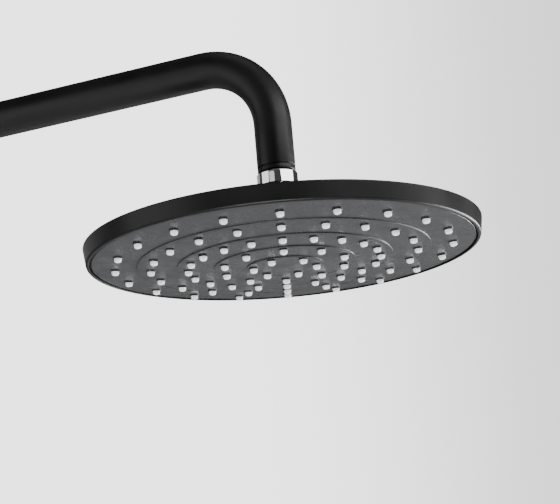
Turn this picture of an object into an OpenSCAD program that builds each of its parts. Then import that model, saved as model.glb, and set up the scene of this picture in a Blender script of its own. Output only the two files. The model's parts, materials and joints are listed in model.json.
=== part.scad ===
// Overhead rain shower: a round head on a ball joint, hung from a bent wall arm.
// The frame's origin is on the arm's axis at the wall face. The arm runs along -Y and +Z is up.
// Sizes are in millimetres.

/* [Arm] */
// Distance from the wall face to the head's axis
arm_reach = 380; // [300:5:460]
// Outside diameter of the arm tube
tube_d = 25; // [23.6:0.2:30]
// Wall thickness of the arm tube
tube_wall = 1.5; // [1:0.1:1.6]
// Centre-line radius of the bend
bend_r = 47.5; // [30:0.5:70]
// Length of the straight stretch below the bend
drop_length = 29.2; // [12:0.1:80]
// Height of the visible ring at each end of the tube
end_ring_h = 3.4; // [3:0.1:8]

/* [Threads] */
// Major diameter of the inlet and outlet threads
thread_d = 20.955; // [20.955:0.001:20.955]
// Length of the inlet thread behind the wall face
inlet_thread_h = 14; // [10:0.5:20]
// Length of the outlet thread inside the ball connector
outlet_thread_h = 10.5; // [9:0.5:11.5]
// Diameter of the water way through both threaded ends
waterway_d = 15; // [10:0.5:16]

/* [Wall flange] */
// Outside diameter of the flange
flange_d = 62; // [54:1:90]
// Depth of the flange from the wall
flange_h = 11; // [9:0.5:20]
// Wall thickness of the flange
flange_wall = 1.6; // [1.2:0.1:2.5]
// Width of the flat rim that meets the wall
flange_rim = 2.6; // [2:0.1:4]
// Section diameter of the ring that grips the tube
flange_oring_d = 2.4; // [2:0.1:3]

/* [Ball joint] */
// Outside diameter of the connector's round collar
connector_d = 26.6; // [25:0.1:30]
// Height of the whole connector above its stem
connector_h = 14; // [13.5:0.5:18]
// Size across the spanner flats
spanner_size = 24; // [23.8:0.1:27]
// Height of the spanner flats
spanner_h = 4.6; // [3:0.1:6]
// Diameter of the ball
ball_d = 19; // [18:0.5:20]
// Diameter of the stem above the ball
stem_d = 12; // [11:0.5:12]
// Distance from the ball's centre to the connector's lower end
stem_h = 14; // [14:0.5:18]
// Thickness of the plastic liners round the ball
liner_wall = 1; // [0.8:0.1:1.2]
// Free space on each side of a liner
ball_gap = 0.3; // [0.2:0.05:0.35]
// Wall of the neck round the ball pocket
neck_wall = 3.4; // [3:0.1:5]
// Wall of the collar round the neck
collar_wall = 4.3; // [4:0.1:6]

/* [Head] */
// Outside diameter of the head, at the top of its side wall
head_d = 257.3; // [200:0.1:320]
// Height of the head's side wall
rim_h = 11.85; // [11.5:0.05:20]
// How far the side wall leans out from its lower edge to its top
rim_flare = 1.35; // [0:0.05:4]
// Thickness of the side wall
rim_wall = 2.4; // [1.8:0.1:3]
// Thickness of the back of the shell
back_wall = 2.4; // [1.8:0.1:3]
// Rise of the back from its edge to the hub
back_rise = 8.75; // [8.5:0.05:16]
// Height of the ball's centre above the lower edge of the side wall
ball_height = 27; // [27:0.5:40]

/* [Spray face] */
// Width of the groove between the side wall and the face
face_gap = 1; // [0.8:0.1:2.5]
// Thickness of the face
face_wall = 2.4; // [2:0.1:3]
// Height of the face's edge above the lower edge of the side wall
face_edge_z = 0.55; // [0:0.05:1]
// How far the crowned face hangs below its edge, without the steps
face_drop = 5.5; // [2:0.1:8]
// Height of each ring step
step_h = 0.7; // [0.3:0.1:1]
// Distance from the face's edge to the outermost ring of nozzles
ring_inset = 14.9; // [14:0.1:20]
// Radius of the innermost ring of nozzles
inner_ring_r = 20.3; // [18:0.1:24]
// Nozzles in each of the three outer rings
spokes = 20; // [20:2:24]
// Nozzles in the innermost ring
inner_count = 6; // [4:1:8]

/* [Nozzles] */
// Diameter of a nozzle at its root
nozzle_d = 4.8; // [4:0.1:6]
// Diameter of a nozzle at its tip
nozzle_tip_d = 2.7; // [2.6:0.1:3.6]
// How far a nozzle stands out of its boss
nozzle_h = 2.3; // [2:0.1:4]
// Diameter of the jet hole
jet_d = 1.3; // [0.8:0.1:1.6]
// Height of the raised boss round each nozzle
boss_h = 0.9; // [0.5:0.1:1.5]
// Wall of the boss
boss_wall = 0.5; // [0.4:0.1:0.8]
// Thickness of the silicone mat
mat_wall = 1.6; // [1.2:0.1:2]

/* [Hidden] */
$fn = 72;

// Clearances
fit_gap = 0.1;        // between pieces that are clamped or pushed together
slide_gap = 0.35;     // between the flange and the tube
oring_gap = 0.06;     // between a ring that slides and the tube
nozzle_gap = 0.15;    // round a nozzle in its hole
eps = 0.01;

// Arm
tube_r = tube_d / 2;
bore_r = tube_r - tube_wall;
thread_r = thread_d / 2;
waterway_r = waterway_d / 2;
end_ring_r = tube_r - 0.1;
plug_h = 12;
end_chamfer = 0.5;

// Levels above the lower edge of the head's side wall
connector_z = ball_height + stem_h;
connector_top = connector_z + connector_h;
seat_gap = 0.4;       // between the connector and the end ring of the arm
arm_end_z = connector_top + seat_gap;
arm_axis_z = arm_end_z + end_ring_h + drop_length + bend_r;

// Ball joint
ball_r = ball_d / 2;
stem_r = stem_d / 2;
ball_bore_r = 4;
ball_flat = ball_r - 0.5;
upper_liner = [58, 85];      // where each ring lies round the ball, in degrees from its top
lower_liner = [100, 117];
seal_zone = [121, 134];
liner_in_r = ball_r + ball_gap;
liner_out_r = liner_in_r + liner_wall;
pocket_r = liner_out_r + ball_gap;
neck_r = pocket_r + neck_wall;
collar_r = neck_r + collar_wall;
collar_opening_r = ball_r + 0.5;
socket_h = outlet_thread_h + 1;
passage_r = 5.5;
hub_top = back_rise + rim_h;
hub_r = collar_r + 5;
shoulder_z = hub_top - back_wall;
collar_z = hub_top + fit_gap;
collar_lip = 2.5;
collar_round = 3;
collar_flare = 1.6;
chamfer = 0.6;
neck_top = ball_height + 1;
collar_top = ball_height + sqrt(pow(pocket_r, 2) - pow(collar_opening_r, 2)) + collar_lip;

// Head
head_r = head_d / 2;
edge_round = 1;
inner_bevel = 1;
face_edge_round = 0.9;
lip_round = rim_wall * 0.7;
lip_chamfer = 0.3;
seal_z = face_edge_z + 1.2;
seal_h = face_wall - 0.4;
rim_low_r = head_r - rim_flare;
cavity_r = rim_low_r - rim_wall;

// Spray face
face_r = cavity_r - face_gap;
outer_ring_r = face_r - ring_inset;
ring_share = [1, 0.742, 0.471, 0.224, 0];
ring_count = [spokes, spokes, spokes, spokes / 2, inner_count];
ring_turn = [22.88, 22.88, 22.88, 22.88, 58.88];
ring_r = [for (s = ring_share) inner_ring_r + s * (outer_ring_r - inner_ring_r)];
step_share = [0.841, 0.555, 0.286, 0.051];
step_r = [for (s = step_share) inner_ring_r + s * (outer_ring_r - inner_ring_r)];
zone_edge = [0, step_r[3], step_r[2], step_r[1], step_r[0], face_r];
zones = len(zone_edge) - 1;

// Chamber
chamber_r = face_r - 3;
chamber_rim = 8;
chamber_wall = 2.2;
back_room = 0.7;      // between the chamber plate and the underside of the back's edge
chamber_top = rim_h - back_wall - back_room;
chamber_z = chamber_top - chamber_wall;
nozzle_straight_h = 0.7;
nozzle_tip_z = -boss_h - nozzle_h;
jet_h = 1;
funnel_w = 1;
pad_h = 1.8;
pad_top = chamber_top + pad_h;
flange_z = pad_top + fit_gap;
neck_flange_h = 3;
shoulder_w = 2.5;
shoulder_r = neck_r + shoulder_w;

// Screws
face_screw_count = spokes / 2;
face_screw_r = chamber_r - chamber_rim / 2;
face_screw_turn = ring_turn[0] + 90 / face_screw_count;
standoff_r = 2.8;
standoff_top = chamber_top - 3;
pilot_floor = 1.4;    // from the face's underside to the end of a blind screw hole
screw_r = 1.25;
pilot_r = screw_r + fit_gap;
screw_hole_r = pilot_r + 0.2;
screw_head_r = 2.4;
screw_head_h = 1.3;
screw_head_round = 0.8;
screw_slot = [2.6, 0.6, 0.8];   // length, width and depth of the cross in a screw's head
socket_screw_count = 4;
socket_screw_r = shoulder_r + screw_head_r + 0.2;
socket_screw_l = 8;
socket_boss_r = 3.2;
socket_boss_h = 2;
neck_flange_r = socket_screw_r + screw_head_r;
pad_r = neck_flange_r + 2;

// Height of the face at radius r, with n steps between it and the edge
function face_z(r, n) = face_edge_z - face_drop * (1 - pow(r / face_r, 2)) - step_h * n;

// Number of steps outside radius r
function steps_at(r) = len([for (s = step_r) if (r < s) 1]);

// Height of the straight line across zone i at radius r
function zone_z(r, i) =
    let (
        n = zones - 1 - i,
        low = face_z(zone_edge[i], n),
        high = face_z(zone_edge[i + 1], n)
    )
    low + (high - low) * (r - zone_edge[i]) / (zone_edge[i + 1] - zone_edge[i]);

// Outline of the stepped face from the centre to r_max, raised by lift, with its steps moved in by back
function face_line(lift, r_max, back = 0) = [
    for (i = [0:zones - 1])
        for (r = [max(zone_edge[i] - back, 0), min(zone_edge[i + 1] - back, r_max)])
            [r, zone_z(r, i) + lift]
];

function reversed(list) = [for (i = [len(list) - 1:-1:0]) list[i]];

function arc(x, y, r, from, to, n = 6) = [
    for (i = [0:n]) let (a = from + (to - from) * i / n) [x + r * cos(a), y + r * sin(a)]
];

// Puts its children in the head's own frame, on the lower edge of the side wall
module at_head() {
    translate([0, -arm_reach, -arm_axis_z]) children();
}

// Puts its children on the wall, with their +Z pointing into it
module at_wall() {
    rotate([-90, 0, 0]) children();
}

module at_ball() {
    translate([0, 0, ball_height]) children();
}

// Repeats its children at every nozzle, square to the crowned face
module at_nozzles() {
    for (k = [0:len(ring_r) - 1])
        for (i = [0:ring_count[k] - 1])
            rotate([0, 0, ring_turn[k] + 360 * i / ring_count[k]])
                translate([ring_r[k], 0, face_z(ring_r[k], steps_at(ring_r[k]))])
                    rotate([0, -atan(2 * face_drop * ring_r[k] / pow(face_r, 2)), 0])
                        children();
}

module at_face_screws() {
    for (i = [0:face_screw_count - 1])
        rotate([0, 0, face_screw_turn + 360 * i / face_screw_count])
            translate([face_screw_r, 0, 0]) children();
}

module at_socket_screws() {
    for (i = [0:socket_screw_count - 1])
        rotate([0, 0, 45 + 360 * i / socket_screw_count])
            translate([socket_screw_r, 0, 0]) children();
}

module ring(r_out, r_in, h) {
    difference() {
        cylinder(r = r_out, h = h);
        translate([0, 0, -1]) cylinder(r = r_in, h = h + 2);
    }
}

module torus(r, section_r) {
    rotate_extrude() translate([r, 0]) circle(r = section_r, $fn = 32);
}

// A sphere-shaped liner between two angles from its axis
module ball_zone(r_in, r_out, from, to) {
    rotate_extrude()
        polygon(concat(
            arc(0, 0, r_out, 90 - from, 90 - to, 10),
            arc(0, 0, r_in, 90 - to, 90 - from, 10)
        ));
}

// ---- Arm ----

module tube_path(r) {
    straight = arm_reach - bend_r - end_ring_h;
    translate([0, -end_ring_h, 0]) rotate([90, 0, 0]) cylinder(r = r, h = straight);
    translate([0, -arm_reach + bend_r, -bend_r])
        rotate([0, -90, 0]) rotate([0, 0, -90])
            rotate_extrude(angle = 90) translate([bend_r, 0]) circle(r = r);
    translate([0, -arm_reach, -bend_r - drop_length]) cylinder(r = r, h = drop_length);
}

module arm_tube() {
    color("#141415")
        difference() {
            tube_path(tube_r);
            tube_path(bore_r);
            rotate([90, 0, 0]) cylinder(r = bore_r, h = end_ring_h + 1);
            translate([0, -arm_reach, -bend_r - drop_length - 1]) cylinder(r = bore_r, h = 2);
        }
}

// A turned end for the tube: a plug inside it, a ring that shows and a thread. Its +Z points out of the tube.
module tube_end(thread_h) {
    difference() {
        union() {
            translate([0, 0, -end_ring_h - plug_h]) cylinder(r = bore_r - fit_gap / 2, h = plug_h + 1);
            translate([0, 0, -end_ring_h]) rotate_extrude()
                polygon([
                    [0, 0], [end_ring_r - end_chamfer, 0], [end_ring_r, end_chamfer],
                    [end_ring_r, end_ring_h - end_chamfer], [end_ring_r - end_chamfer, end_ring_h],
                    [0, end_ring_h]
                ]);
            cylinder(r = thread_r, h = thread_h);
        }
        translate([0, 0, -end_ring_h - plug_h - 1])
            cylinder(r = waterway_r, h = plug_h + end_ring_h + thread_h + 2);
    }
}

module inlet_nipple() {
    color("#b8964f") at_wall() tube_end(inlet_thread_h);
}

module outlet_ferrule() {
    color("#161617") at_head() translate([0, 0, arm_end_z]) rotate([180, 0, 0]) tube_end(outlet_thread_h);
}

// ---- Wall flange ----

flange_r = flange_d / 2;
flange_bore_r = tube_r + slide_gap;
flange_collar_r = flange_bore_r + flange_oring_d + 1.2;
flange_oring_r = tube_r + oring_gap + flange_oring_d / 2;
flange_oring_h = flange_h / 2;
flange_hub_low = flange_wall + 1;
flange_round = 1;
flange_edge_round = 3;
flange_shoulder = [2, 3.4];     // how far the dished part starts out from and below the hub's top
gasket_h = 1.5;
gasket_w = 4;

module wall_flange() {
    inner_r = flange_r - flange_rim;
    color("#141415") at_wall() rotate([180, 0, 0]) difference() {
        rotate_extrude()
            polygon(concat(
                [[flange_bore_r, flange_hub_low], [flange_bore_r, flange_h]],
                arc(flange_collar_r - flange_round, flange_h - flange_round, flange_round, 90, 0, 4),
                [[flange_collar_r + flange_shoulder[0], flange_h - flange_shoulder[1]]],
                arc(flange_r - flange_edge_round, flange_edge_round, flange_edge_round, 78, 0, 6),
                [
                    [flange_r, 0], [inner_r, 0], [inner_r, gasket_h + fit_gap],
                    [flange_collar_r, flange_h - flange_shoulder[1] - flange_wall],
                    [flange_collar_r, flange_hub_low]
                ]
            ));
        translate([0, 0, flange_oring_h]) torus(flange_oring_r, flange_oring_d / 2 + fit_gap / 2);
    }
}

module flange_oring() {
    color("#1c1c1c") at_wall() translate([0, 0, -flange_oring_h]) torus(flange_oring_r, flange_oring_d / 2);
}

module wall_gasket() {
    outer_r = flange_r - flange_rim - fit_gap;
    color("#3a3a3a") at_wall() translate([0, 0, -gasket_h]) ring(outer_r, outer_r - gasket_w, gasket_h);
}

// ---- Ball connector ----

thread_bore_r = thread_r + fit_gap;
washer_h = 2;
washer_seat = connector_top - socket_h;
connector_chamfer = 1.2;

module ball_connector() {
    collar_low = connector_z + spanner_h;
    color("#d8d9db") at_head() difference() {
        union() {
            rotate_extrude()
                polygon([
                    [0, collar_low], [connector_d / 2 - 0.5, collar_low], [connector_d / 2, collar_low + 0.5],
                    [connector_d / 2, connector_top - connector_chamfer],
                    [connector_d / 2 - connector_chamfer, connector_top], [0, connector_top]
                ]);
            intersection() {
                translate([0, 0, connector_z])
                    cylinder(r = spanner_size / sqrt(3), h = spanner_h + 1, $fn = 6);
                rotate_extrude()
                    polygon([
                        [0, connector_z], [spanner_size / 2 + 0.4, connector_z],
                        [spanner_size / 2 + 2, connector_z + connector_chamfer],
                        [spanner_size / 2 + 2, connector_z + spanner_h + 1],
                        [0, connector_z + spanner_h + 1]
                    ]);
            }
            translate([0, 0, ball_height]) cylinder(r = stem_r, h = stem_h + 1);
            at_ball() difference() {
                sphere(r = ball_r);
                translate([0, 0, -ball_r - ball_flat]) cylinder(r = ball_r, h = ball_r);
            }
        }
        translate([0, 0, washer_seat]) cylinder(r = thread_bore_r, h = socket_h + 1);
        translate([0, 0, ball_height - ball_r - 1]) cylinder(r = ball_bore_r, h = ball_r + stem_h + 4);
        translate([0, 0, washer_seat - regulator_h]) cylinder(r = regulator_r + fit_gap, h = regulator_h + 1);
    }
}

washer_top = arm_end_z - outlet_thread_h - fit_gap;
washer_r = thread_bore_r - 0.2;

module inlet_washer() {
    color("#222222") at_head() translate([0, 0, washer_seat + fit_gap / 2])
        difference() {
            ring(washer_r, waterway_r - 1, washer_top - washer_seat - fit_gap / 2);
            translate([0, 0, -1]) cylinder(r = screen_r + fit_gap / 2, h = 1 + screen_h + fit_gap);
        }
}

screen_r = waterway_r + 0.6;
screen_h = 0.5;
screen_hole = 0.8;
screen_pitch = 1.7;

module filter_screen() {
    rows = floor((screen_r - 2) / screen_pitch);
    color("#c9cacc") at_head() translate([0, 0, washer_seat + fit_gap / 2]) difference() {
        cylinder(r = screen_r, h = screen_h);
        for (i = [-rows:rows])
            for (j = [-rows:rows])
                if (norm([i, j]) * screen_pitch < screen_r - 1.6)
                    translate([i * screen_pitch - screen_hole / 2, j * screen_pitch - screen_hole / 2, -1])
                        cube([screen_hole, screen_hole, screen_h + 2]);
    }
}

regulator_r = 5;
regulator_h = 6;
regulator_oring_d = 1.4;
regulator_holes = 6;
regulator_hole_r = 0.6;
regulator_hole_at = 2.2;

module flow_regulator() {
    color("#5b8f5a") at_head() translate([0, 0, washer_seat - regulator_h]) difference() {
        translate([0, 0, fit_gap]) cylinder(r = regulator_r, h = regulator_h - 2 * fit_gap);
        for (i = [0:regulator_holes - 1])
            rotate([0, 0, 360 * i / regulator_holes]) translate([regulator_hole_at, 0, -1])
                cylinder(r = regulator_hole_r, h = regulator_h + 2, $fn = 24);
        translate([0, 0, (regulator_h - regulator_oring_d) / 2 - fit_gap])
            ring(regulator_r + 1, regulator_r - regulator_oring_d, regulator_oring_d + 2 * fit_gap);
    }
}

module regulator_oring() {
    section_r = regulator_oring_d / 2;
    color("#1c1c1c") at_head() translate([0, 0, washer_seat - regulator_h / 2])
        torus(regulator_r + fit_gap / 2 - section_r, section_r);
}

// ---- Ball socket ----

module upper_ball_liner() {
    color("#e8e6df") at_head() at_ball() ball_zone(liner_in_r, liner_out_r, upper_liner[0], upper_liner[1]);
}

module lower_ball_liner() {
    color("#e8e6df") at_head() at_ball() ball_zone(liner_in_r, liner_out_r, lower_liner[0], lower_liner[1]);
}

module ball_seal() {
    color("#2b2b2b") at_head() at_ball()
        ball_zone(ball_r + fit_gap, pocket_r - fit_gap / 2, seal_zone[0], seal_zone[1]);
}

module neck_collar() {
    bore = neck_r + fit_gap;
    color("#161617") at_head() difference() {
        rotate_extrude()
            polygon(concat(
                [[bore, collar_z], [collar_r - chamfer, collar_z], [collar_r, collar_z + chamfer]],
                arc(collar_r - collar_round, collar_top - collar_round, collar_round, 0, 90, 6),
                [
                    [collar_opening_r + collar_flare, collar_top],
                    [collar_opening_r, collar_top - collar_lip],
                    [collar_opening_r, neck_top + fit_gap], [bore, neck_top + fit_gap]
                ]
            ));
        at_ball() sphere(r = pocket_r);
    }
}

module neck_socket() {
    color("#b8964f") at_head() difference() {
        rotate_extrude()
            polygon([
                [0, flange_z], [neck_flange_r, flange_z], [neck_flange_r, flange_z + neck_flange_h],
                [shoulder_r, flange_z + neck_flange_h], [shoulder_r, shoulder_z - fit_gap],
                [neck_r, shoulder_z - fit_gap], [neck_r, neck_top], [0, neck_top]
            ]);
        at_ball() sphere(r = pocket_r);
        translate([0, 0, ball_height]) cylinder(r = pocket_r, h = neck_top - ball_height + 1);
        translate([0, 0, flange_z - 1]) cylinder(r = passage_r, h = ball_height - flange_z);
        translate([0, 0, neck_oring_z - neck_oring_d / 2 - fit_gap])
            ring(neck_r + 1, neck_r - neck_oring_d, neck_oring_d + 2 * fit_gap);
        translate([0, 0, flange_z]) torus(socket_oring_r, socket_oring_d / 2);
        at_socket_screws() translate([0, 0, flange_z - 1])
            cylinder(r = screw_hole_r, h = neck_flange_h + 2, $fn = 32);
    }
}

socket_oring_r = 10;
socket_oring_d = 2;
neck_oring_d = 1.2;
neck_oring_z = shoulder_z + back_wall / 2;

module socket_oring() {
    color("#1c1c1c") at_head() translate([0, 0, pad_top + fit_gap / 2])
        torus(socket_oring_r, socket_oring_d / 2 - fit_gap);
}

module neck_oring() {
    section_r = neck_oring_d / 2;
    color("#1c1c1c") at_head() translate([0, 0, neck_oring_z])
        torus(neck_r + fit_gap / 2 - section_r, section_r);
}

module pan_screw(length) {
    round_r = screw_head_round;
    translate([0, 0, -length]) cylinder(r = screw_r, h = length + eps, $fn = 32);
    difference() {
        rotate_extrude()
            polygon(concat(
                [[0, 0], [screw_head_r, 0]],
                arc(screw_head_r - round_r, screw_head_h - round_r, round_r, 0, 90, 4),
                [[0, screw_head_h]]
            ));
        for (a = [0, 90])
            rotate([0, 0, a])
                translate([-screw_slot[0] / 2, -screw_slot[1] / 2, screw_head_h - screw_slot[2]])
                    cube([screw_slot[0], screw_slot[1], screw_head_h]);
    }
}

module socket_screws() {
    color("#c0c1c4") at_head() at_socket_screws()
        translate([0, 0, flange_z + neck_flange_h + fit_gap / 2]) pan_screw(socket_screw_l);
}

// ---- Head ----

// Height of the back at radius r
function back_z(r) = rim_h + back_rise * (1 - pow((r - hub_r) / (head_r - hub_r), 2));

module back_shell() {
    outer_cuts = 16;
    inner_top_r = head_r - rim_wall;
    inner_edge = inner_top_r - inner_bevel;
    over_w = head_r - 2 * edge_round - hub_r;
    under_w = inner_edge - 1 - hub_r;
    color("#151516") at_head() rotate_extrude()
        polygon(concat(
            [[neck_r + fit_gap, hub_top]],
            [for (i = [0:outer_cuts]) let (r = hub_r + over_w * i / outer_cuts) [r, back_z(r)]],
            arc(head_r - edge_round, rim_h - edge_round, edge_round, 80, 0, 4),
            arc(rim_low_r - lip_round, lip_round, lip_round, 0, -90, 6),
            [
                [cavity_r + lip_chamfer, 0], [cavity_r, lip_chamfer],
                [inner_top_r, rim_h - back_wall - inner_bevel],
                [inner_edge, back_z(inner_edge) - back_wall]
            ],
            [
                for (i = [outer_cuts:-1:0])
                    let (r = hub_r + under_w * i / outer_cuts) [r, back_z(r) - back_wall]
            ],
            [[neck_r + fit_gap, shoulder_z]]
        ));
}

module chamber_plate() {
    lift = face_wall + mat_wall + 2 * fit_gap;
    inner_r = chamber_r - chamber_rim;
    socket_pilot_z = chamber_z - socket_boss_h + 0.8;
    color("#dcdcd8") at_head() difference() {
        union() {
            rotate_extrude()
                polygon(concat(
                    [[0, chamber_z], [inner_r, chamber_z]],
                    [for (r = [inner_r, chamber_r]) [r, zone_z(r, zones - 1) + lift]],
                    [[chamber_r, chamber_top], [pad_r, chamber_top], [pad_r, pad_top], [0, pad_top]]
                ));
            for (i = [0:socket_screw_count - 1])
                rotate([0, 0, 45 + 360 * i / socket_screw_count])
                    translate([socket_screw_r, 0, chamber_z - socket_boss_h])
                        cylinder(r = socket_boss_r, h = socket_boss_h + 1);
        }
        translate([0, 0, chamber_z - 1]) cylinder(r = passage_r, h = pad_top);
        translate([0, 0, pad_top]) torus(socket_oring_r, socket_oring_d / 2);
        at_face_screws() {
            cylinder(r = screw_hole_r, h = pad_top, $fn = 32);
            cylinder(r = standoff_r + 2 * fit_gap, h = standoff_top + fit_gap, $fn = 32);
        }
        at_socket_screws() translate([0, 0, socket_pilot_z]) cylinder(r = pilot_r, h = pad_top, $fn = 32);
    }
}

// A nozzle in its own frame, from inside the mat down to its tip, with a rounded lower end
module nozzle_body() {
    root_r = nozzle_d / 2;
    tip_r = nozzle_tip_d / 2;
    top_z = face_wall + 2 * fit_gap;
    round_z = nozzle_tip_z + (nozzle_h - nozzle_straight_h);
    rotate_extrude()
        polygon(concat(
            [[0, top_z], [root_r, top_z]],
            [
                for (i = [0:5]) let (a = 90 * i / 5)
                    [tip_r + (root_r - tip_r) * cos(a), round_z + (nozzle_tip_z - round_z) * sin(a)]
            ],
            [[0, nozzle_tip_z]]
        ));
}

// The water way through a nozzle: a funnel, then the jet hole
module nozzle_bore() {
    jet_r = jet_d / 2;
    mouth_z = face_wall + mat_wall + 1;
    rotate_extrude()
        polygon([
            [0, mouth_z], [jet_r + funnel_w, mouth_z], [jet_r + funnel_w, face_wall],
            [jet_r, nozzle_tip_z + jet_h], [jet_r, nozzle_tip_z - 1], [0, nozzle_tip_z - 1]
        ]);
}

module nozzle_mat() {
    low = face_wall + fit_gap;
    under = face_line(low, chamber_r, fit_gap);
    over = face_line(low + mat_wall, chamber_r, fit_gap);
    color("#f4f4f2") at_head() difference() {
        union() {
            rotate_extrude() polygon(concat(under, reversed(over)));
            at_nozzles() nozzle_body();
        }
        at_nozzles() nozzle_bore();
        at_face_screws() cylinder(r = standoff_r + 2 * fit_gap, h = chamber_top, $fn = 32);
    }
}

module face_plate() {
    hole_r = nozzle_d / 2 + nozzle_gap;
    face_top = face_line(face_wall, face_r);
    color("#2e2e30") at_head() difference() {
        union() {
            rotate_extrude()
                polygon(concat(
                    face_line(0, face_r - face_edge_round),
                    arc(face_r - face_edge_round, face_edge_z + face_edge_round, face_edge_round, -80, 0, 5),
                    reversed(face_top)
                ));
            at_nozzles() translate([0, 0, -boss_h])
                cylinder(r = hole_r + boss_wall, h = boss_h + 1, $fn = 32);
            at_face_screws() translate([0, 0, face_edge_z + 1])
                cylinder(r = standoff_r, h = standoff_top - face_edge_z - 1, $fn = 32);
        }
        at_nozzles() translate([0, 0, -boss_h - 1])
            cylinder(r = hole_r, h = face_wall + boss_h + 2, $fn = 32);
        at_face_screws() translate([0, 0, face_edge_z + pilot_floor])
            cylinder(r = pilot_r, h = standoff_top, $fn = 32);
    }
}

module face_screws() {
    length = chamber_top - face_edge_z - pilot_floor - 0.6;
    color("#c0c1c4") at_head() at_face_screws()
        translate([0, 0, chamber_top + fit_gap / 2]) pan_screw(length);
}

module rim_seal() {
    color("#101010") at_head() translate([0, 0, seal_z]) ring(cavity_r - fit_gap, face_r + fit_gap, seal_h);
}

arm_tube();
inlet_nipple();
outlet_ferrule();
wall_flange();
flange_oring();
wall_gasket();
ball_connector();
inlet_washer();
filter_screen();
flow_regulator();
regulator_oring();
upper_ball_liner();
lower_ball_liner();
ball_seal();
neck_collar();
neck_socket();
socket_oring();
socket_screws();
neck_oring();
back_shell();
chamber_plate();
nozzle_mat();
face_plate();
face_screws();
rim_seal();
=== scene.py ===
"""Overhead rain shower on a bent wall arm: shown pieces, finishes, stage and camera."""

import json
import math

import bmesh
import bpy
from bpy.props import FloatProperty, FloatVectorProperty, IntProperty, PointerProperty
from mathutils import Matrix, Vector


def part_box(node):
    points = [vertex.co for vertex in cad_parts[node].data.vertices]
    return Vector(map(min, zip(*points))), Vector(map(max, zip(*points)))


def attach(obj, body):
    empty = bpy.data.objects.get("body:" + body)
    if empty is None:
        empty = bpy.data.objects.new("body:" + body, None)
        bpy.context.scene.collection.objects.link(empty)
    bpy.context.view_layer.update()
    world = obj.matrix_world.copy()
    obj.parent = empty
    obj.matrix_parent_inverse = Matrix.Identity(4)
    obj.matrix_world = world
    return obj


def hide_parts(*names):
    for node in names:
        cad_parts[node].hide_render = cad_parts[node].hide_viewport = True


bl_info = {
    "name": "Overhead Rain Shower",
    "version": (1, 0, 0),
    "blender": (4, 5, 0),
    "location": "3D View > Sidebar > Rain Shower",
    "description": "Builds a round rain shower head on a ball joint, hung from a bent wall arm",
    "category": "Object",
}

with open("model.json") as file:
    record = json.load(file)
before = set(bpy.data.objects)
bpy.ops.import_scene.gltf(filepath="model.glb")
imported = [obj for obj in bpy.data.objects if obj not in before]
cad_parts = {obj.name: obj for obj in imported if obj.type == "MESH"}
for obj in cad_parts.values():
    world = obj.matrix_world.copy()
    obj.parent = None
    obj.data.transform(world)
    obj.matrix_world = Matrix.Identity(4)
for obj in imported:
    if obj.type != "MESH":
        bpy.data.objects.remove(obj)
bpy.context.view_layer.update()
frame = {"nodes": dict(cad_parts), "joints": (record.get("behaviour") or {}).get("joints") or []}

MM = 0.001
FULL_TURN = 2 * math.pi
QUARTER_TURN = math.pi / 2
SAME_PLACE = 1e-7

# ---- Places and sizes that the frame gives ----

tube_low, tube_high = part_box("arm_tube")
TUBE_R = tube_high.x
REACH = -tube_low.y - TUBE_R
TUBE_START_Y = tube_high.y
END_RING_H = -tube_high.y
TUBE_END_Z = tube_low.z
ARM_END_Z = TUBE_END_Z - END_RING_H

shell_low, shell_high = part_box("back_shell")
HEAD_R = shell_high.x
RIM_Z = shell_low.z
HUB_TOP = shell_high.z - RIM_Z

FACE_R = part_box("face_plate")[1].x

joint_low, joint_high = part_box("ball_connector")
BALL_CENTRE = Vector(next(j["pos_m"] for j in frame["joints"] if j["name"] == "head_spin"))
NECK_THREAD_R = 14.6 * MM

# A wall piece is turned about +Z, then laid down so that its +Z points out of the wall.
ON_WALL = Matrix.Rotation(QUARTER_TURN, 4, "X")
ON_HEAD = Matrix.Translation((0, -REACH, RIM_Z))


# ---- Settings that a user would change ----


class ArmSizes(bpy.types.PropertyGroup):
    bend_r: FloatProperty(
        name="Bend radius", description="Radius of the tube's centre line in its bend",
        default=47.5 * MM, min=0.03, max=0.07, unit="LENGTH")
    wall: FloatProperty(
        name="Tube wall", description="Thickness of the tube's wall",
        default=1.5 * MM, min=0.001, max=0.002, unit="LENGTH")
    thread_r: FloatProperty(
        name="Thread radius", description="Major radius of the inlet and outlet threads",
        default=10.4775 * MM, min=0.009, max=0.012, unit="LENGTH")
    thread_pitch: FloatProperty(
        name="Thread pitch", description="Distance from one thread crest to the next",
        default=1.814 * MM, min=0.001, max=0.003, unit="LENGTH")
    waterway_r: FloatProperty(
        name="Waterway radius", description="Radius of the hole through each threaded end",
        default=7.5 * MM, min=0.005, max=0.008, unit="LENGTH")
    segments: IntProperty(
        name="Segments", description="Straight facets round the tube",
        default=128, min=24, max=256)


class WallCoverSizes(bpy.types.PropertyGroup):
    wall: FloatProperty(
        name="Cover wall", description="Thickness of the wall flange",
        default=1.6 * MM, min=0.001, max=0.003, unit="LENGTH")
    rim: FloatProperty(
        name="Rim width", description="Width of the flat rim that meets the wall",
        default=2.6 * MM, min=0.001, max=0.004, unit="LENGTH")
    bore_gap: FloatProperty(
        name="Bore gap", description="Free space between the cover and the tube",
        default=0.35 * MM, min=0.0001, max=0.001, unit="LENGTH")
    hub_wall: FloatProperty(
        name="Hub wall", description="Thickness of the hub round the tube",
        default=3.6 * MM, min=0.002, max=0.006, unit="LENGTH")


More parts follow.
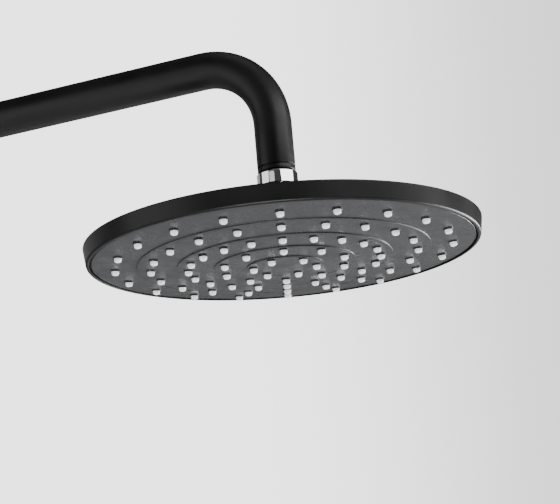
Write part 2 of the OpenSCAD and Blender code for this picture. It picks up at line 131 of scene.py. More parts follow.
class JointSizes(bpy.types.PropertyGroup):
    ball_r: FloatProperty(
        name="Ball radius", description="Radius of the ball",
        default=9.5 * MM, min=0.008, max=0.012, unit="LENGTH")
    stem_r: FloatProperty(
        name="Stem radius", description="Radius of the stem above the ball",
        default=6 * MM, min=0.004, max=0.007, unit="LENGTH")
    stem_h: FloatProperty(
        name="Stem height", description="Distance from the ball's centre to the spanner flats",
        default=14 * MM, min=0.01, max=0.018, unit="LENGTH")
    collar_r: FloatProperty(
        name="Chrome collar radius", description="Radius of the connector's round collar",
        default=13.3 * MM, min=0.012, max=0.015, unit="LENGTH")
    spanner: FloatProperty(
        name="Spanner size", description="Width across the connector's six flats",
        default=24 * MM, min=0.02, max=0.027, unit="LENGTH")
    spanner_h: FloatProperty(
        name="Flat height", description="Height of the spanner flats",
        default=4.6 * MM, min=0.003, max=0.006, unit="LENGTH")
    grip_flutes: IntProperty(
        name="Grip flutes", description="Shallow flutes round the neck collar",
        default=36, min=12, max=72)


class HeadSizes(bpy.types.PropertyGroup):
    rim_h: FloatProperty(
        name="Side wall height", description="Height of the head's side wall",
        default=11.85 * MM, min=0.008, max=0.02, unit="LENGTH")
    rim_flare: FloatProperty(
        name="Side wall lean", description="How far the side wall leans out on its way up",
        default=1.35 * MM, min=0.0, max=0.004, unit="LENGTH")
    rim_wall: FloatProperty(
        name="Side wall", description="Thickness of the side wall",
        default=2.4 * MM, min=0.001, max=0.003, unit="LENGTH")
    back_wall: FloatProperty(
        name="Back wall", description="Thickness of the shell's back",
        default=2.4 * MM, min=0.001, max=0.003, unit="LENGTH")
    face_wall: FloatProperty(
        name="Face wall", description="Thickness of the face",
        default=2.4 * MM, min=0.001, max=0.003, unit="LENGTH")
    face_edge_z: FloatProperty(
        name="Face edge", description="Height of the face's edge above the side wall's lower edge",
        default=0.55 * MM, min=0.0, max=0.001, unit="LENGTH")
    face_drop: FloatProperty(
        name="Face drop", description="How far the crowned face hangs below its edge, without its steps",
        default=5.5 * MM, min=0.002, max=0.008, unit="LENGTH")
    step_h: FloatProperty(
        name="Step height", description="Height of each ring step on the face",
        default=0.7 * MM, min=0.0003, max=0.001, unit="LENGTH")
    outer_ring_r: FloatProperty(
        name="Outer nozzle ring", description="Radius of the outermost ring of nozzles",
        default=109.0 * MM, min=0.08, max=0.115, unit="LENGTH")
    inner_ring_r: FloatProperty(
        name="Inner nozzle ring", description="Radius of the innermost ring of nozzles",
        default=20.3 * MM, min=0.018, max=0.024, unit="LENGTH")
    spokes: IntProperty(
        name="Spokes", description="Nozzles in each of the three outer rings",
        default=20, min=20, max=24)
    inner_count: IntProperty(
        name="Inner nozzles", description="Nozzles in the innermost ring",
        default=6, min=4, max=8)


class NozzleSizes(bpy.types.PropertyGroup):
    root_r: FloatProperty(
        name="Root radius", description="Radius of a nozzle where it leaves its boss",
        default=2.4 * MM, min=0.002, max=0.003, unit="LENGTH")
    tip_r: FloatProperty(
        name="Tip radius", description="Radius of the flat at a nozzle's tip",
        default=1.35 * MM, min=0.001, max=0.002, unit="LENGTH")
    jet_r: FloatProperty(
        name="Jet radius", description="Radius of the jet hole",
        default=0.65 * MM, min=0.0004, max=0.001, unit="LENGTH")
    height: FloatProperty(
        name="Height", description="How far a nozzle stands out of its boss",
        default=2.3 * MM, min=0.002, max=0.004, unit="LENGTH")
    straight: FloatProperty(
        name="Straight height", description="Height of a nozzle's straight root",
        default=0.7 * MM, min=0.0, max=0.002, unit="LENGTH")
    boss_h: FloatProperty(
        name="Boss height", description="Height of the raised boss round each nozzle",
        default=0.9 * MM, min=0.0005, max=0.0015, unit="LENGTH")
    boss_wall: FloatProperty(
        name="Boss wall", description="Thickness of the boss",
        default=0.5 * MM, min=0.0004, max=0.001, unit="LENGTH")
    gap: FloatProperty(
        name="Gap", description="Free space round a nozzle in its boss",
        default=0.15 * MM, min=0.0, max=0.0003, unit="LENGTH")


class FinishColours(bpy.types.PropertyGroup):
    coat: FloatVectorProperty(
        name="Powder coat", description="Colour of the arm's black coat", subtype="COLOR",
        size=3, default=(0.004, 0.004, 0.0043), min=0.0, max=1.0)
    shell: FloatVectorProperty(
        name="Shell", description="Colour of the head's moulded shell", subtype="COLOR",
        size=3, default=(0.004, 0.004, 0.0042), min=0.0, max=1.0)
    face: FloatVectorProperty(
        name="Face", description="Colour of the spray face", subtype="COLOR",
        size=3, default=(0.019, 0.020, 0.022), min=0.0, max=1.0)
    silicone: FloatVectorProperty(
        name="Silicone", description="Colour of the nozzles", subtype="COLOR",
        size=3, default=(0.88, 0.89, 0.90), min=0.0, max=1.0)
    chrome: FloatVectorProperty(
        name="Chrome", description="Colour of the chrome plate", subtype="COLOR",
        size=3, default=(0.86, 0.87, 0.89), min=0.0, max=1.0)
    brass: FloatVectorProperty(
        name="Brass", description="Colour of the turned brass", subtype="COLOR",
        size=3, default=(0.72, 0.52, 0.24), min=0.0, max=1.0)


class StageSettings(bpy.types.PropertyGroup):
    floor_drop: FloatProperty(
        name="Floor drop", description="Distance from the head's lower edge down to the floor",
        default=1.6, min=0.5, max=3.0, unit="LENGTH")
    camera_distance: FloatProperty(
        name="Camera distance", description="From the camera to the centre of the head's lower edge",
        default=1.2055, min=0.5, max=5.0, unit="LENGTH")
    camera_azimuth: FloatProperty(
        name="Camera azimuth", description="Direction of the camera round the head, from -Y towards +X",
        default=math.radians(-67.0), subtype="ANGLE")
    camera_elevation: FloatProperty(
        name="Camera elevation", description="Height of the camera above the head's level",
        default=math.radians(-13.96), subtype="ANGLE")
    camera_roll: FloatProperty(
        name="Camera roll", description="Turn of the camera about its own axis",
        default=math.radians(-4.93), subtype="ANGLE")
    camera_aim: FloatVectorProperty(
        name="Camera aim", description="The point aimed at, from the centre of the head's lower edge",
        size=3, default=(-1.44 * MM, 2.05 * MM, 2.07 * MM), subtype="TRANSLATION", unit="LENGTH")
    lens: FloatProperty(
        name="Lens", description="Focal length in millimetres on a 36 mm sensor",
        default=120.5, min=20.0, max=300.0)


SETTINGS = {
    "arm_sizes": ArmSizes,
    "wall_cover_sizes": WallCoverSizes,
    "joint_sizes": JointSizes,
    "head_sizes": HeadSizes,
    "nozzle_sizes": NozzleSizes,
    "finish_colours": FinishColours,
    "stage_settings": StageSettings,
}


# ---- Shaping ----


def rounded(points, fillet, closed=True, cuts=4):
    """The outline with its corners rounded. A point is (radius, height), or has its own fillet third."""
    most_of_an_edge = 0.45
    corners = [Vector(p[:2]) for p in points]
    made = []
    for i, here in enumerate(corners):
        size = points[i][2] if len(points[i]) > 2 else fillet
        at_end = not closed and i in (0, len(corners) - 1)
        if at_end or size <= 0:
            made.append(here)
            continue
        back, ahead = corners[i - 1] - here, corners[(i + 1) % len(corners)] - here
        half = back.angle(ahead) / 2
        reach = min(size / math.tan(half), most_of_an_edge * min(back.length, ahead.length))
        start, end = here + back.normalized() * reach, here + ahead.normalized() * reach
        for k in range(cuts + 1):
            t = k / cuts
            made.append(start * (1 - t) ** 2 + here * (2 * t * (1 - t)) + end * t ** 2)
    return [(p.x, p.y) for p in made]


def arc(centre_r, centre_z, radius, start, end, cuts=12):
    """Points on an arc, its angles in degrees from the outline's +r axis."""
    angles = [math.radians(start + (end - start) * i / cuts) for i in range(cuts + 1)]
    return [(centre_r + radius * math.cos(a), centre_z + radius * math.sin(a)) for a in angles]


def turned(outline, segments=128, closed=True):
    """An outline of (radius, height) points turned round the Z axis."""
    bm = bmesh.new()
    verts = [bm.verts.new((r, 0, z)) for r, z in outline]
    ends = verts[1:] + verts[:1] if closed else verts[1:]
    edges = [bm.edges.new(pair) for pair in zip(verts, ends)]
    bmesh.ops.spin(
        bm, geom=verts + edges, cent=(0, 0, 0), axis=(0, 0, 1), angle=FULL_TURN,
        steps=segments, use_merge=True, use_duplicate=False)
    bmesh.ops.remove_doubles(bm, verts=bm.verts, dist=SAME_PLACE)
    bmesh.ops.recalc_face_normals(bm, faces=bm.faces)
    return bm


def placed(bm, matrix):
    """The same bmesh, moved by a matrix."""
    bmesh.ops.transform(bm, matrix=matrix, verts=bm.verts)
    return bm


def joined(*parts):
    """Several bmeshes as one."""
    whole = bmesh.new()
    for part in parts:
        step = bpy.data.meshes.new("step")
        part.to_mesh(step)
        part.free()
        whole.from_mesh(step)
        bpy.data.meshes.remove(step)
    return whole


def piece(name, bm, material, body, slot, *stands_for, sharp=32.0):
    """Makes a piece that rides on a body and stands for CAD nodes. Edges past sharp degrees stay hard."""
    mesh = bpy.data.meshes.new(name)
    for face in bm.faces:
        face.smooth = True
    bm.to_mesh(mesh)
    bm.free()
    mesh.set_sharp_from_angle(angle=math.radians(sharp))
    mesh.materials.append(material)
    obj = bpy.data.objects.new(name, mesh)
    bpy.context.scene.collection.objects.link(obj)
    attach(obj, body)
    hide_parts(*stands_for)


def screw_thread(major_r, depth, pitch, start, length, segments=64):
    """A helical ridge from start along +Z, as a closed band."""
    turns = length / pitch - 1
    steps = round(segments * turns)
    bm = bmesh.new()
    root_r = major_r - depth
    sunk_r = root_r - 0.3 * depth
    crest, flank, foot = 0.12 * pitch, 0.42 * pitch, 0.52 * pitch
    ridge = [
        (sunk_r, -foot), (root_r, -flank), (major_r, -crest),
        (major_r, crest), (root_r, flank), (sunk_r, foot)]
    verts = [bm.verts.new((r, 0, start + pitch / 2 + z)) for r, z in ridge]
    face = bm.faces.new(verts)
    bmesh.ops.spin(
        bm, geom=[face], cent=(0, 0, 0), axis=(0, 0, 1), dvec=(0, 0, pitch * turns / steps),
        angle=FULL_TURN * turns, steps=steps, use_merge=False, use_duplicate=False)
    bmesh.ops.recalc_face_normals(bm, faces=bm.faces)
    return bm


# ---- Finishes ----

# A noise pattern's values lie mostly between these two.
NOISE_LOW, NOISE_HIGH = 0.3, 0.7


def remap(nodes, links, value, low, high, from_low=NOISE_LOW, from_high=NOISE_HIGH):
    """A pattern spread over the range from low to high."""
    span = nodes.new("ShaderNodeMapRange")
    span.inputs["From Min"].default_value = from_low
    span.inputs["From Max"].default_value = from_high
    span.inputs["To Min"].default_value = low
    span.inputs["To Max"].default_value = high
    links.new(value, span.inputs["Value"])
    return span.outputs["Result"]


class Finish:
    """A material under construction: one shader, and patterns that read the piece's own coordinates."""

    def __init__(self, name, colour, roughness, metallic=0.0):
        self.material = bpy.data.materials.new(name)
        self.material.use_nodes = True
        self.material.diffuse_color = (*colour, 1.0)
        self.nodes = self.material.node_tree.nodes
        self.links = self.material.node_tree.links
        self.sockets = self.nodes["Principled BSDF"].inputs
        self.set("Base Color", (*colour, 1.0))
        self.set("Roughness", roughness)
        self.set("Metallic", metallic)
        self.place = self.nodes.new("ShaderNodeTexCoord").outputs["Object"]

    def set(self, socket, value):
        """Gives a socket of the shader one even value."""
        self.sockets[socket].default_value = value

    def noise(self, scale, detail=2.0, rough=0.5, stretch=None):
        """A noise pattern, its scale in features a metre, drawn out along an axis if stretch says so."""
        texture = self.nodes.new("ShaderNodeTexNoise")
        texture.inputs["Scale"].default_value = scale
        texture.inputs["Detail"].default_value = detail
        texture.inputs["Roughness"].default_value = rough
        place = self.place
        if stretch:
            mapping = self.nodes.new("ShaderNodeMapping")
            mapping.inputs["Scale"].default_value = stretch
            self.links.new(place, mapping.inputs["Vector"])
            place = mapping.outputs["Vector"]
        self.links.new(place, texture.inputs["Vector"])
        return texture.outputs["Fac"]

    def gloss(self, pattern, low, high, **span):
        """Roughness that runs from low to high with a pattern."""
        self.links.new(remap(self.nodes, self.links, pattern, low, high, **span), self.sockets["Roughness"])

    def tint(self, pattern, dark, light):
        """Base colour that runs from dark to light with a pattern."""
        ramp = self.nodes.new("ShaderNodeValToRGB")
        stops = ((NOISE_LOW, dark), (NOISE_HIGH, light))
        for element, (position, colour) in zip(ramp.color_ramp.elements, stops):
            element.position = position
            element.color = (*colour, 1.0)
        self.links.new(pattern, ramp.inputs["Fac"])
        self.links.new(ramp.outputs["Color"], self.sockets["Base Color"])

    def relief(self, pattern, depth, strength=1.0, under=None):
        """A bump of that depth in metres, over another one if given."""
        bump = self.nodes.new("ShaderNodeBump")
        bump.inputs["Distance"].default_value = depth
        bump.inputs["Strength"].default_value = strength
        self.links.new(pattern, bump.inputs["Height"])
        if under:
            self.links.new(under, bump.inputs["Normal"])
        self.links.new(bump.outputs["Normal"], self.sockets["Normal"])
        return bump.outputs["Normal"]


def shade(colour, factor):
    """A lighter or darker form of a colour."""
    return tuple(min(1.0, c * factor) for c in colour)


def powder_coat(colour):
    """Matt black powder coat: a fine orange peel, with a soft sheen that varies a little."""
    coat = Finish("powder_coat", colour, 0.42)
    coat.set("Specular IOR Level", 0.3)
    clouds = coat.noise(45.0)
    coat.gloss(clouds, 0.38, 0.47)
    coat.tint(clouds, shade(colour, 0.85), shade(colour, 1.15))
    coat.relief(coat.noise(1500.0), 0.012 * MM, 0.5)
    return coat.material


def moulded_shell(colour):
    """Black moulded plastic with a fine spark-eroded grain."""
    shell = Finish("moulded_shell", colour, 0.36)
    shell.set("Specular IOR Level", 0.24)
    clouds = shell.noise(30.0)
    shell.gloss(clouds, 0.31, 0.4)
    shell.tint(clouds, shade(colour, 0.9), shade(colour, 1.1))
    shell.relief(shell.noise(2400.0), 0.008 * MM, 0.5)
    return shell.material


def spray_face(colour):
    """Dark satin plastic of the face, with water-marked patches that are smoother and a faint grain."""
    face = Finish("spray_face", colour, 0.3)
    face.set("Specular IOR Level", 0.3)
    patches = face.noise(38.0, detail=4.0, rough=0.6)
    face.gloss(patches, 0.20, 0.42, from_low=0.35, from_high=0.65)
    face.tint(patches, shade(colour, 0.8), shade(colour, 1.25))
    waves = face.relief(face.noise(130.0, detail=3.0), 0.04 * MM, 0.25)
    face.relief(face.noise(1800.0), 0.008 * MM, 0.5, under=waves)
    return face.material


def soft_silicone(colour):
    """White silicone: light passes into it a little, and it has a faint matt skin."""
    silicone = Finish("soft_silicone", colour, 0.38)
    silicone.set("Subsurface Weight", 0.25)
    silicone.set("Subsurface Radius", (1.0, 0.9, 0.8))
    silicone.set("Subsurface Scale", 0.8 * MM)
    clouds = silicone.noise(260.0)
    silicone.gloss(clouds, 0.32, 0.45)
    silicone.tint(clouds, shade(colour, 0.96), shade(colour, 1.03))
    silicone.relief(silicone.noise(1700.0), 0.01 * MM, 0.4)
    return silicone.material


def chrome_plate(colour):
    """Polished chrome with a trace of smear."""
    chrome = Finish("chrome_plate", colour, 0.05, metallic=1.0)
    smear = chrome.noise(120.0, detail=3.0)
    chrome.gloss(smear, 0.03, 0.075)
    chrome.tint(smear, shade(colour, 0.97), colour)
    return chrome.material


def turned_brass(colour):
    """Brass with the fine rings that a lathe leaves."""
    brass = Finish("turned_brass", colour, 0.3, metallic=1.0)
    rings = brass.noise(60.0, stretch=(1.0, 60.0, 60.0))
    brass.gloss(rings, 0.24, 0.4)
    brass.tint(rings, shade(colour, 0.86), shade(colour, 1.08))
    brass.relief(rings, 0.01 * MM, 0.4)
    return brass.material


def plain_finish(name, colour, roughness, metallic=0.0, grain=1400.0, depth=0.01 * MM):
    """An even moulded or sheet finish with a fine grain, for the pieces inside."""
    plain = Finish(name, colour, roughness, metallic)
    clouds = plain.noise(90.0, detail=3.0)
    plain.gloss(clouds, roughness - 0.05, roughness + 0.06)
    plain.tint(clouds, shade(colour, 0.9), shade(colour, 1.08))
    plain.relief(plain.noise(grain), depth, 0.5)
    return plain.material


def black_rubber():
    """Soft black rubber of the O-rings and seals."""
    return plain_finish("black_rubber", (0.014, 0.014, 0.014), 0.62, grain=1900.0, depth=0.02 * MM)


def grey_foam():
    """Closed-cell foam with small pits, with painted shade in the pits."""
    foam = Finish("grey_foam", (0.06, 0.06, 0.062), 0.85)
    cells = foam.nodes.new("ShaderNodeTexVoronoi")
    cells.inputs["Scale"].default_value = 1300.0
    foam.links.new(foam.place, cells.inputs["Vector"])
    # Painted shade: the colour is darkest at the bottom of each pit, where the bump is lowest.
    foam.tint(cells.outputs["Distance"], (0.03, 0.03, 0.03), (0.09, 0.09, 0.092))
    foam.relief(cells.outputs["Distance"], 0.15 * MM, 0.7)
    return foam.material


def pale_floor():
    """Pale to the camera like the room behind it, dimmer as a light on the object."""
    as_light, as_seen = 0.2, 1.5
    floor = Finish("pale_floor", (0.8, 0.8, 0.8), 0.7)
    floor.set("Specular IOR Level", 0.2)
    floor.set("Emission Color", (1.0, 1.0, 1.0, 1.0))
    path = floor.nodes.new("ShaderNodeLightPath")
    glow = remap(floor.nodes, floor.links, path.outputs["Is Camera Ray"], as_light, as_seen)
    floor.links.new(glow, floor.sockets["Emission Strength"])
    floor.tint(floor.noise(1.5), (0.78, 0.78, 0.785), (0.81, 0.81, 0.812))
    return floor.material


FINISHES = {}


def finish(name):
    """The finish of that name, made once."""
    colours = bpy.context.scene.finish_colours
    makers = {
        "powder_coat": lambda: powder_coat(tuple(colours.coat)),
        "moulded_shell": lambda: moulded_shell(tuple(colours.shell)),
        "spray_face": lambda: spray_face(tuple(colours.face)),
        "soft_silicone": lambda: soft_silicone(tuple(colours.silicone)),
        "chrome_plate": lambda: chrome_plate(tuple(colours.chrome)),
        "turned_brass": lambda: turned_brass(tuple(colours.brass)),
        "black_rubber": black_rubber,
        "grey_foam": grey_foam,
        "stainless": lambda: plain_finish("stainless", (0.56, 0.56, 0.57), 0.3, metallic=1.0),
        "green_acetal": lambda: plain_finish("green_acetal", (0.1, 0.3, 0.12), 0.4),
        "pale_acetal": lambda: plain_finish("pale_acetal", (0.78, 0.76, 0.7), 0.36),
        "pale_plastic": lambda: plain_finish("pale_plastic", (0.66, 0.66, 0.64), 0.45),
    }
    if name not in FINISHES:
        FINISHES[name] = makers[name]()
    return FINISHES[name]


# ---- The face's shape, shared by the face, its bosses and its nozzles ----

# Shares of the way from the innermost ring of nozzles to the outermost.
RING_SHARES = (1.0, 0.742, 0.471, 0.224, 0.0)
STEP_SHARES = (0.841, 0.555, 0.286, 0.051)
SPOKE_TURN = math.radians(22.88)
INNER_TURN = math.radians(58.88)


def radii(sizes, shares):
    """The radii of the rings or steps that lie at those shares of the nozzles' span."""
    span = sizes.outer_ring_r - sizes.inner_ring_r
    return [sizes.inner_ring_r + share * span for share in shares]


def crown(sizes, r):
    """Height of the crowned face above the side wall's lower edge at radius r, without its steps."""
    return sizes.face_edge_z - sizes.face_drop * (1 - (r / FACE_R) ** 2)


def face_height(sizes, r):
    """Height of the face above the side wall's lower edge, at radius r."""
    steps = sum(1 for s in radii(sizes, STEP_SHARES) if r < s)
    return crown(sizes, r) - sizes.step_h * steps


def nozzle_seats(sizes):
    """For each nozzle, the matrix that puts it on the face, square to the crown."""
    counts = 3 * [sizes.spokes] + [sizes.spokes // 2, sizes.inner_count]
    turns = 4 * [SPOKE_TURN] + [INNER_TURN]
    for r, count, first in zip(radii(sizes, RING_SHARES), counts, turns):
        lean = math.atan(2 * sizes.face_drop * r / FACE_R ** 2)
        for i in range(count):
            turn = Matrix.Rotation(first + FULL_TURN * i / count, 4, "Z")
            seat = Matrix.Translation((r, 0, face_height(sizes, r)))
            yield turn @ seat @ Matrix.Rotation(-lean, 4, "Y")


# ---- The pieces, one operator for each or for a group of like ones ----


class SHOWER_OT_arm_tube(bpy.types.Operator):
    """Sweep the tube out from the wall, round its bend and down"""
    bl_idname = "shower.arm_tube"
    bl_label = "Arm tube"

    def execute(self, context):
        sizes = context.scene.arm_sizes
        bend_steps, lip_round, hard_edge, near = 48, 0.35 * MM, 1.0, 1e-6
        bm = bmesh.new()
        for radius in (TUBE_R, TUBE_R - sizes.wall):
            bmesh.ops.create_circle(bm, cap_ends=False, radius=radius, segments=sizes.segments)
        placed(bm, Matrix.Translation((0, TUBE_START_Y, 0)) @ ON_WALL)
        edges = list(bm.edges)
        bend_start = sizes.bend_r - REACH
        edges = self.pulled(bm, edges, Vector((0, bend_start - TUBE_START_Y, 0)))
        verts = list(dict.fromkeys(v for e in edges for v in e.verts))
        bend = bmesh.ops.spin(
            bm, geom=verts + edges, cent=(0, bend_start, -sizes.bend_r), axis=(1, 0, 0),
            angle=QUARTER_TURN, steps=bend_steps, use_duplicate=False)
        edges = [g for g in bend["geom_last"] if isinstance(g, bmesh.types.BMEdge)]
        edges = self.pulled(bm, edges, Vector((0, 0, TUBE_END_Z + sizes.bend_r)))
        for end in (lambda v: v.co.y > TUBE_START_Y - near, lambda v: v.co.z < TUBE_END_Z + near):
            rims = [e for e in bm.edges if e.is_boundary and all(end(v) for v in e.verts)]
            bmesh.ops.bridge_loops(bm, edges=rims)
        bmesh.ops.recalc_face_normals(bm, faces=bm.faces)
        lips = [e for e in bm.edges if e.calc_face_angle(0) > hard_edge]
        bmesh.ops.bevel(
            bm, geom=lips, offset=lip_round, segments=3, profile=0.5, affect="EDGES", material=-1)
        piece("arm", bm, finish("powder_coat"), "arm", "black_coat", "arm_tube")
        return {"FINISHED"}

    @staticmethod
    def pulled(bm, edges, way):
        """Extrudes edges and moves the new ones along way."""
        made = bmesh.ops.extrude_edge_only(bm, edges=edges)["geom"]
        verts = [g for g in made if isinstance(g, bmesh.types.BMVert)]
        bmesh.ops.translate(bm, verts=verts, vec=way)
        fresh = set(verts)
        return [e for e in bm.edges if all(v in fresh for v in e.verts)]


def threaded_end(sizes, thread_h, plug_h, ring_h):
    """A turned end of the arm. Its +Z points into the tube, and its shoulder stands at height 0."""
    bore = sizes.waterway_r
    plug_gap, ring_step, groove, groove_slope = 0.05 * MM, 0.1 * MM, 0.6 * MM, 0.15 * MM
    thread_depth, thread_sunk, thread_lead, thread_end = 1.0 * MM, 0.1 * MM, 0.2 * MM, 1.0 * MM
    plug_r = TUBE_R - sizes.wall - plug_gap
    ring_r = TUBE_R - ring_step
    root_r = sizes.thread_r - thread_depth
    outline = rounded([
        (bore, -thread_h, 0.4 * MM), (root_r, -thread_h, 0.5 * MM), (root_r, 0, 0.2 * MM),
        (ring_r, 0, 0.55 * MM), (ring_r, ring_h - groove - groove_slope, 0.25 * MM),
        (ring_r - groove, ring_h - groove, 0), (ring_r - groove, ring_h, 0),
        (plug_r, ring_h, 0), (plug_r, ring_h + plug_h, 0.3 * MM), (bore, ring_h + plug_h, 0.3 * MM)],
        0, cuts=4)
    body = turned(outline, segments=sizes.segments)
    thread = screw_thread(
        sizes.thread_r, thread_depth + thread_sunk, sizes.thread_pitch,
        thread_lead - thread_h, thread_h - thread_lead - thread_end)
    return joined(body, thread)


class SHOWER_OT_arm_ends(bpy.types.Operator):
    """Turn the arm's two threaded ends: brass at the wall, black above the connector"""
    bl_idname = "shower.arm_ends"
    bl_label = "Arm ends"

    def execute(self, context):
        sizes = context.scene.arm_sizes
        low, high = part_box("inlet_nipple")
        inlet = threaded_end(sizes, high.y, -low.y - END_RING_H, END_RING_H)
        placed(inlet, ON_WALL)
        piece("inlet_end", inlet, finish("turned_brass"), "arm", "brass", "inlet_nipple")
        low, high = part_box("outlet_ferrule")
        plug_h = high.z - ARM_END_Z - END_RING_H
        outlet = threaded_end(sizes, ARM_END_Z - low.z, plug_h, END_RING_H)
        placed(outlet, Matrix.Translation((0, -REACH, ARM_END_Z)))
        piece("outlet_end", outlet, finish("powder_coat"), "arm", "black_coat", "outlet_ferrule")
        return {"FINISHED"}


class SHOWER_OT_wall_cover(bpy.types.Operator):
    """Turn the loose wall flange and its foam ring"""
    bl_idname = "shower.wall_cover"
    bl_label = "Wall cover"

    def execute(self, context):
        sizes = context.scene.wall_cover_sizes
        low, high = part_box("wall_flange")
        rim_r, height = high.x, -low.y
        hub_h, hub_slope, foot_gap = 3.4 * MM, 2.0 * MM, 1.0 * MM
        shoulder_in, shoulder_z, edge_h = 2.3 * MM, 5.6 * MM, 2.6 * MM
        gasket_h, gasket_w = 1.6 * MM, 4.0 * MM
        bore_r = TUBE_R + sizes.bore_gap
        hub_r = bore_r + sizes.hub_wall
        dish_r, dish_z = hub_r + hub_slope, height - hub_h
        foot_z = sizes.wall + foot_gap
        outline = rounded([
            (bore_r, foot_z, 0.2 * MM), (bore_r, height, 0.35 * MM), (hub_r, height, 1.0 * MM),
            (dish_r, dish_z, 2.2 * MM), (rim_r - shoulder_in, shoulder_z, 3.2 * MM),
            (rim_r, edge_h, 2.2 * MM), (rim_r, 0, 0.15 * MM), (rim_r - sizes.rim, 0, 0.15 * MM),
            (rim_r - sizes.rim, gasket_h, 0.3 * MM), (hub_r, dish_z - sizes.wall, 0.6 * MM),
            (hub_r, foot_z, 0.2 * MM)],
            0, cuts=8)
        cover = placed(turned(outline, segments=160), ON_WALL)
        piece("wall_cover", cover, finish("powder_coat"), "flange", "black_coat", "wall_flange")
        low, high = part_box("wall_gasket")
        outer, inner, thick = high.x, high.x - gasket_w, -low.y
        ring = rounded([(inner, 0), (outer, 0), (outer, thick), (inner, thick)], 0.35 * MM)
        foam = placed(turned(ring, segments=128), ON_WALL)
        piece("foam_ring", foam, finish("grey_foam"), "flange", "grey_foam", "wall_gasket")
        return {"FINISHED"}


class SHOWER_OT_ball_connector(bpy.types.Operator):
    """Turn the chrome connector and cut its spanner flats"""
    bl_idname = "shower.ball_connector"
    bl_label = "Ball connector"

    def execute(self, context):
        sizes = context.scene.joint_sizes
        arm = context.scene.arm_sizes
        top = joint_high.z - BALL_CENTRE.z
        foot = joint_low.z - BALL_CENTRE.z
        flats_low = sizes.stem_h
        flats_high = flats_low + sizes.spanner_h
        bore_r, pocket_r, socket_r = 4.0 * MM, 5.1 * MM, arm.thread_r + 0.1 * MM
        seat = top - 11.5 * MM
        pocket_floor = seat - 6.0 * MM
        flat_step, top_edge, low_edge, foot_edge = 0.6 * MM, 1.2 * MM, 0.5 * MM, 0.3 * MM
        collar_r = sizes.collar_r
        neck_r = sizes.spanner / 2 - flat_step
        stem_z = math.sqrt(sizes.ball_r ** 2 - sizes.stem_r ** 2)
        stem_angle = math.degrees(math.atan2(stem_z, sizes.stem_r))
        foot_angle = math.degrees(math.asin(foot / sizes.ball_r))
        collar = [
            (bore_r, pocket_floor, 0), (pocket_r, pocket_floor, 0), (pocket_r, seat, 0),
            (socket_r, seat, 0), (socket_r, top, 0.3 * MM), (collar_r - top_edge, top, 0.3 * MM),
            (collar_r, top - top_edge, 0.5 * MM), (collar_r, flats_high + low_edge, 0.2 * MM),
            (collar_r - low_edge, flats_high, 0.15 * MM), (neck_r, flats_high, 0.1 * MM),
            (neck_r, flats_low + foot_edge, 0.2 * MM), (neck_r - foot_edge, flats_low, 0.1 * MM),
            (sizes.stem_r, flats_low, 1.2 * MM)]
        ball = arc(0, 0, sizes.ball_r, stem_angle, foot_angle, cuts=40)
        outline = rounded(collar + [(sizes.stem_r, stem_z, 0.3 * MM)], 0, closed=False, cuts=5)
        outline += ball[1:] + [(bore_r, foot)]
        body = turned(outline, segments=128)
        placed(body, Matrix.Translation(BALL_CENTRE))
        nut_sunk = 0.4 * MM
        nut = placed(self.spanner_flats(sizes, neck_r - nut_sunk), Matrix.Translation(BALL_CENTRE))
        piece(
            "ball_connector_chrome", joined(body, nut), finish("chrome_plate"), "arm", "chrome",
            "ball_connector")
        return {"FINISHED"}

    @staticmethod
    def spanner_flats(sizes, inner_r):
        """A chamfered ring cut by six planes into a hexagon."""
        flats, gap = 6, 0.05 * MM
        low, high = sizes.stem_h + gap, sizes.stem_h + sizes.spanner_h - gap
        apothem = sizes.spanner / 2
        corner_r = apothem / math.cos(math.pi / flats)
        chamfer = corner_r - apothem - 0.3 * MM
        chamfer_h = 0.6 * chamfer
        ring = [
            (inner_r, low), (corner_r - chamfer, low), (corner_r, low + chamfer_h),
            (corner_r, high - chamfer_h), (corner_r - chamfer, high), (inner_r, high)]
        bm = turned(ring, segments=96)
        for i in range(flats):
            angle = FULL_TURN * i / flats
            out = Vector((math.cos(angle), math.sin(angle), 0))
            cut = bmesh.ops.bisect_plane(
                bm, geom=bm.verts[:] + bm.edges[:] + bm.faces[:], dist=SAME_PLACE,
                plane_co=out * apothem, plane_no=out, clear_outer=True)
            edges = [g for g in cut["geom_cut"] if isinstance(g, bmesh.types.BMEdge)]
            bmesh.ops.contextual_create(bm, geom=edges)
        bmesh.ops.recalc_face_normals(bm, faces=bm.faces)
        return bm


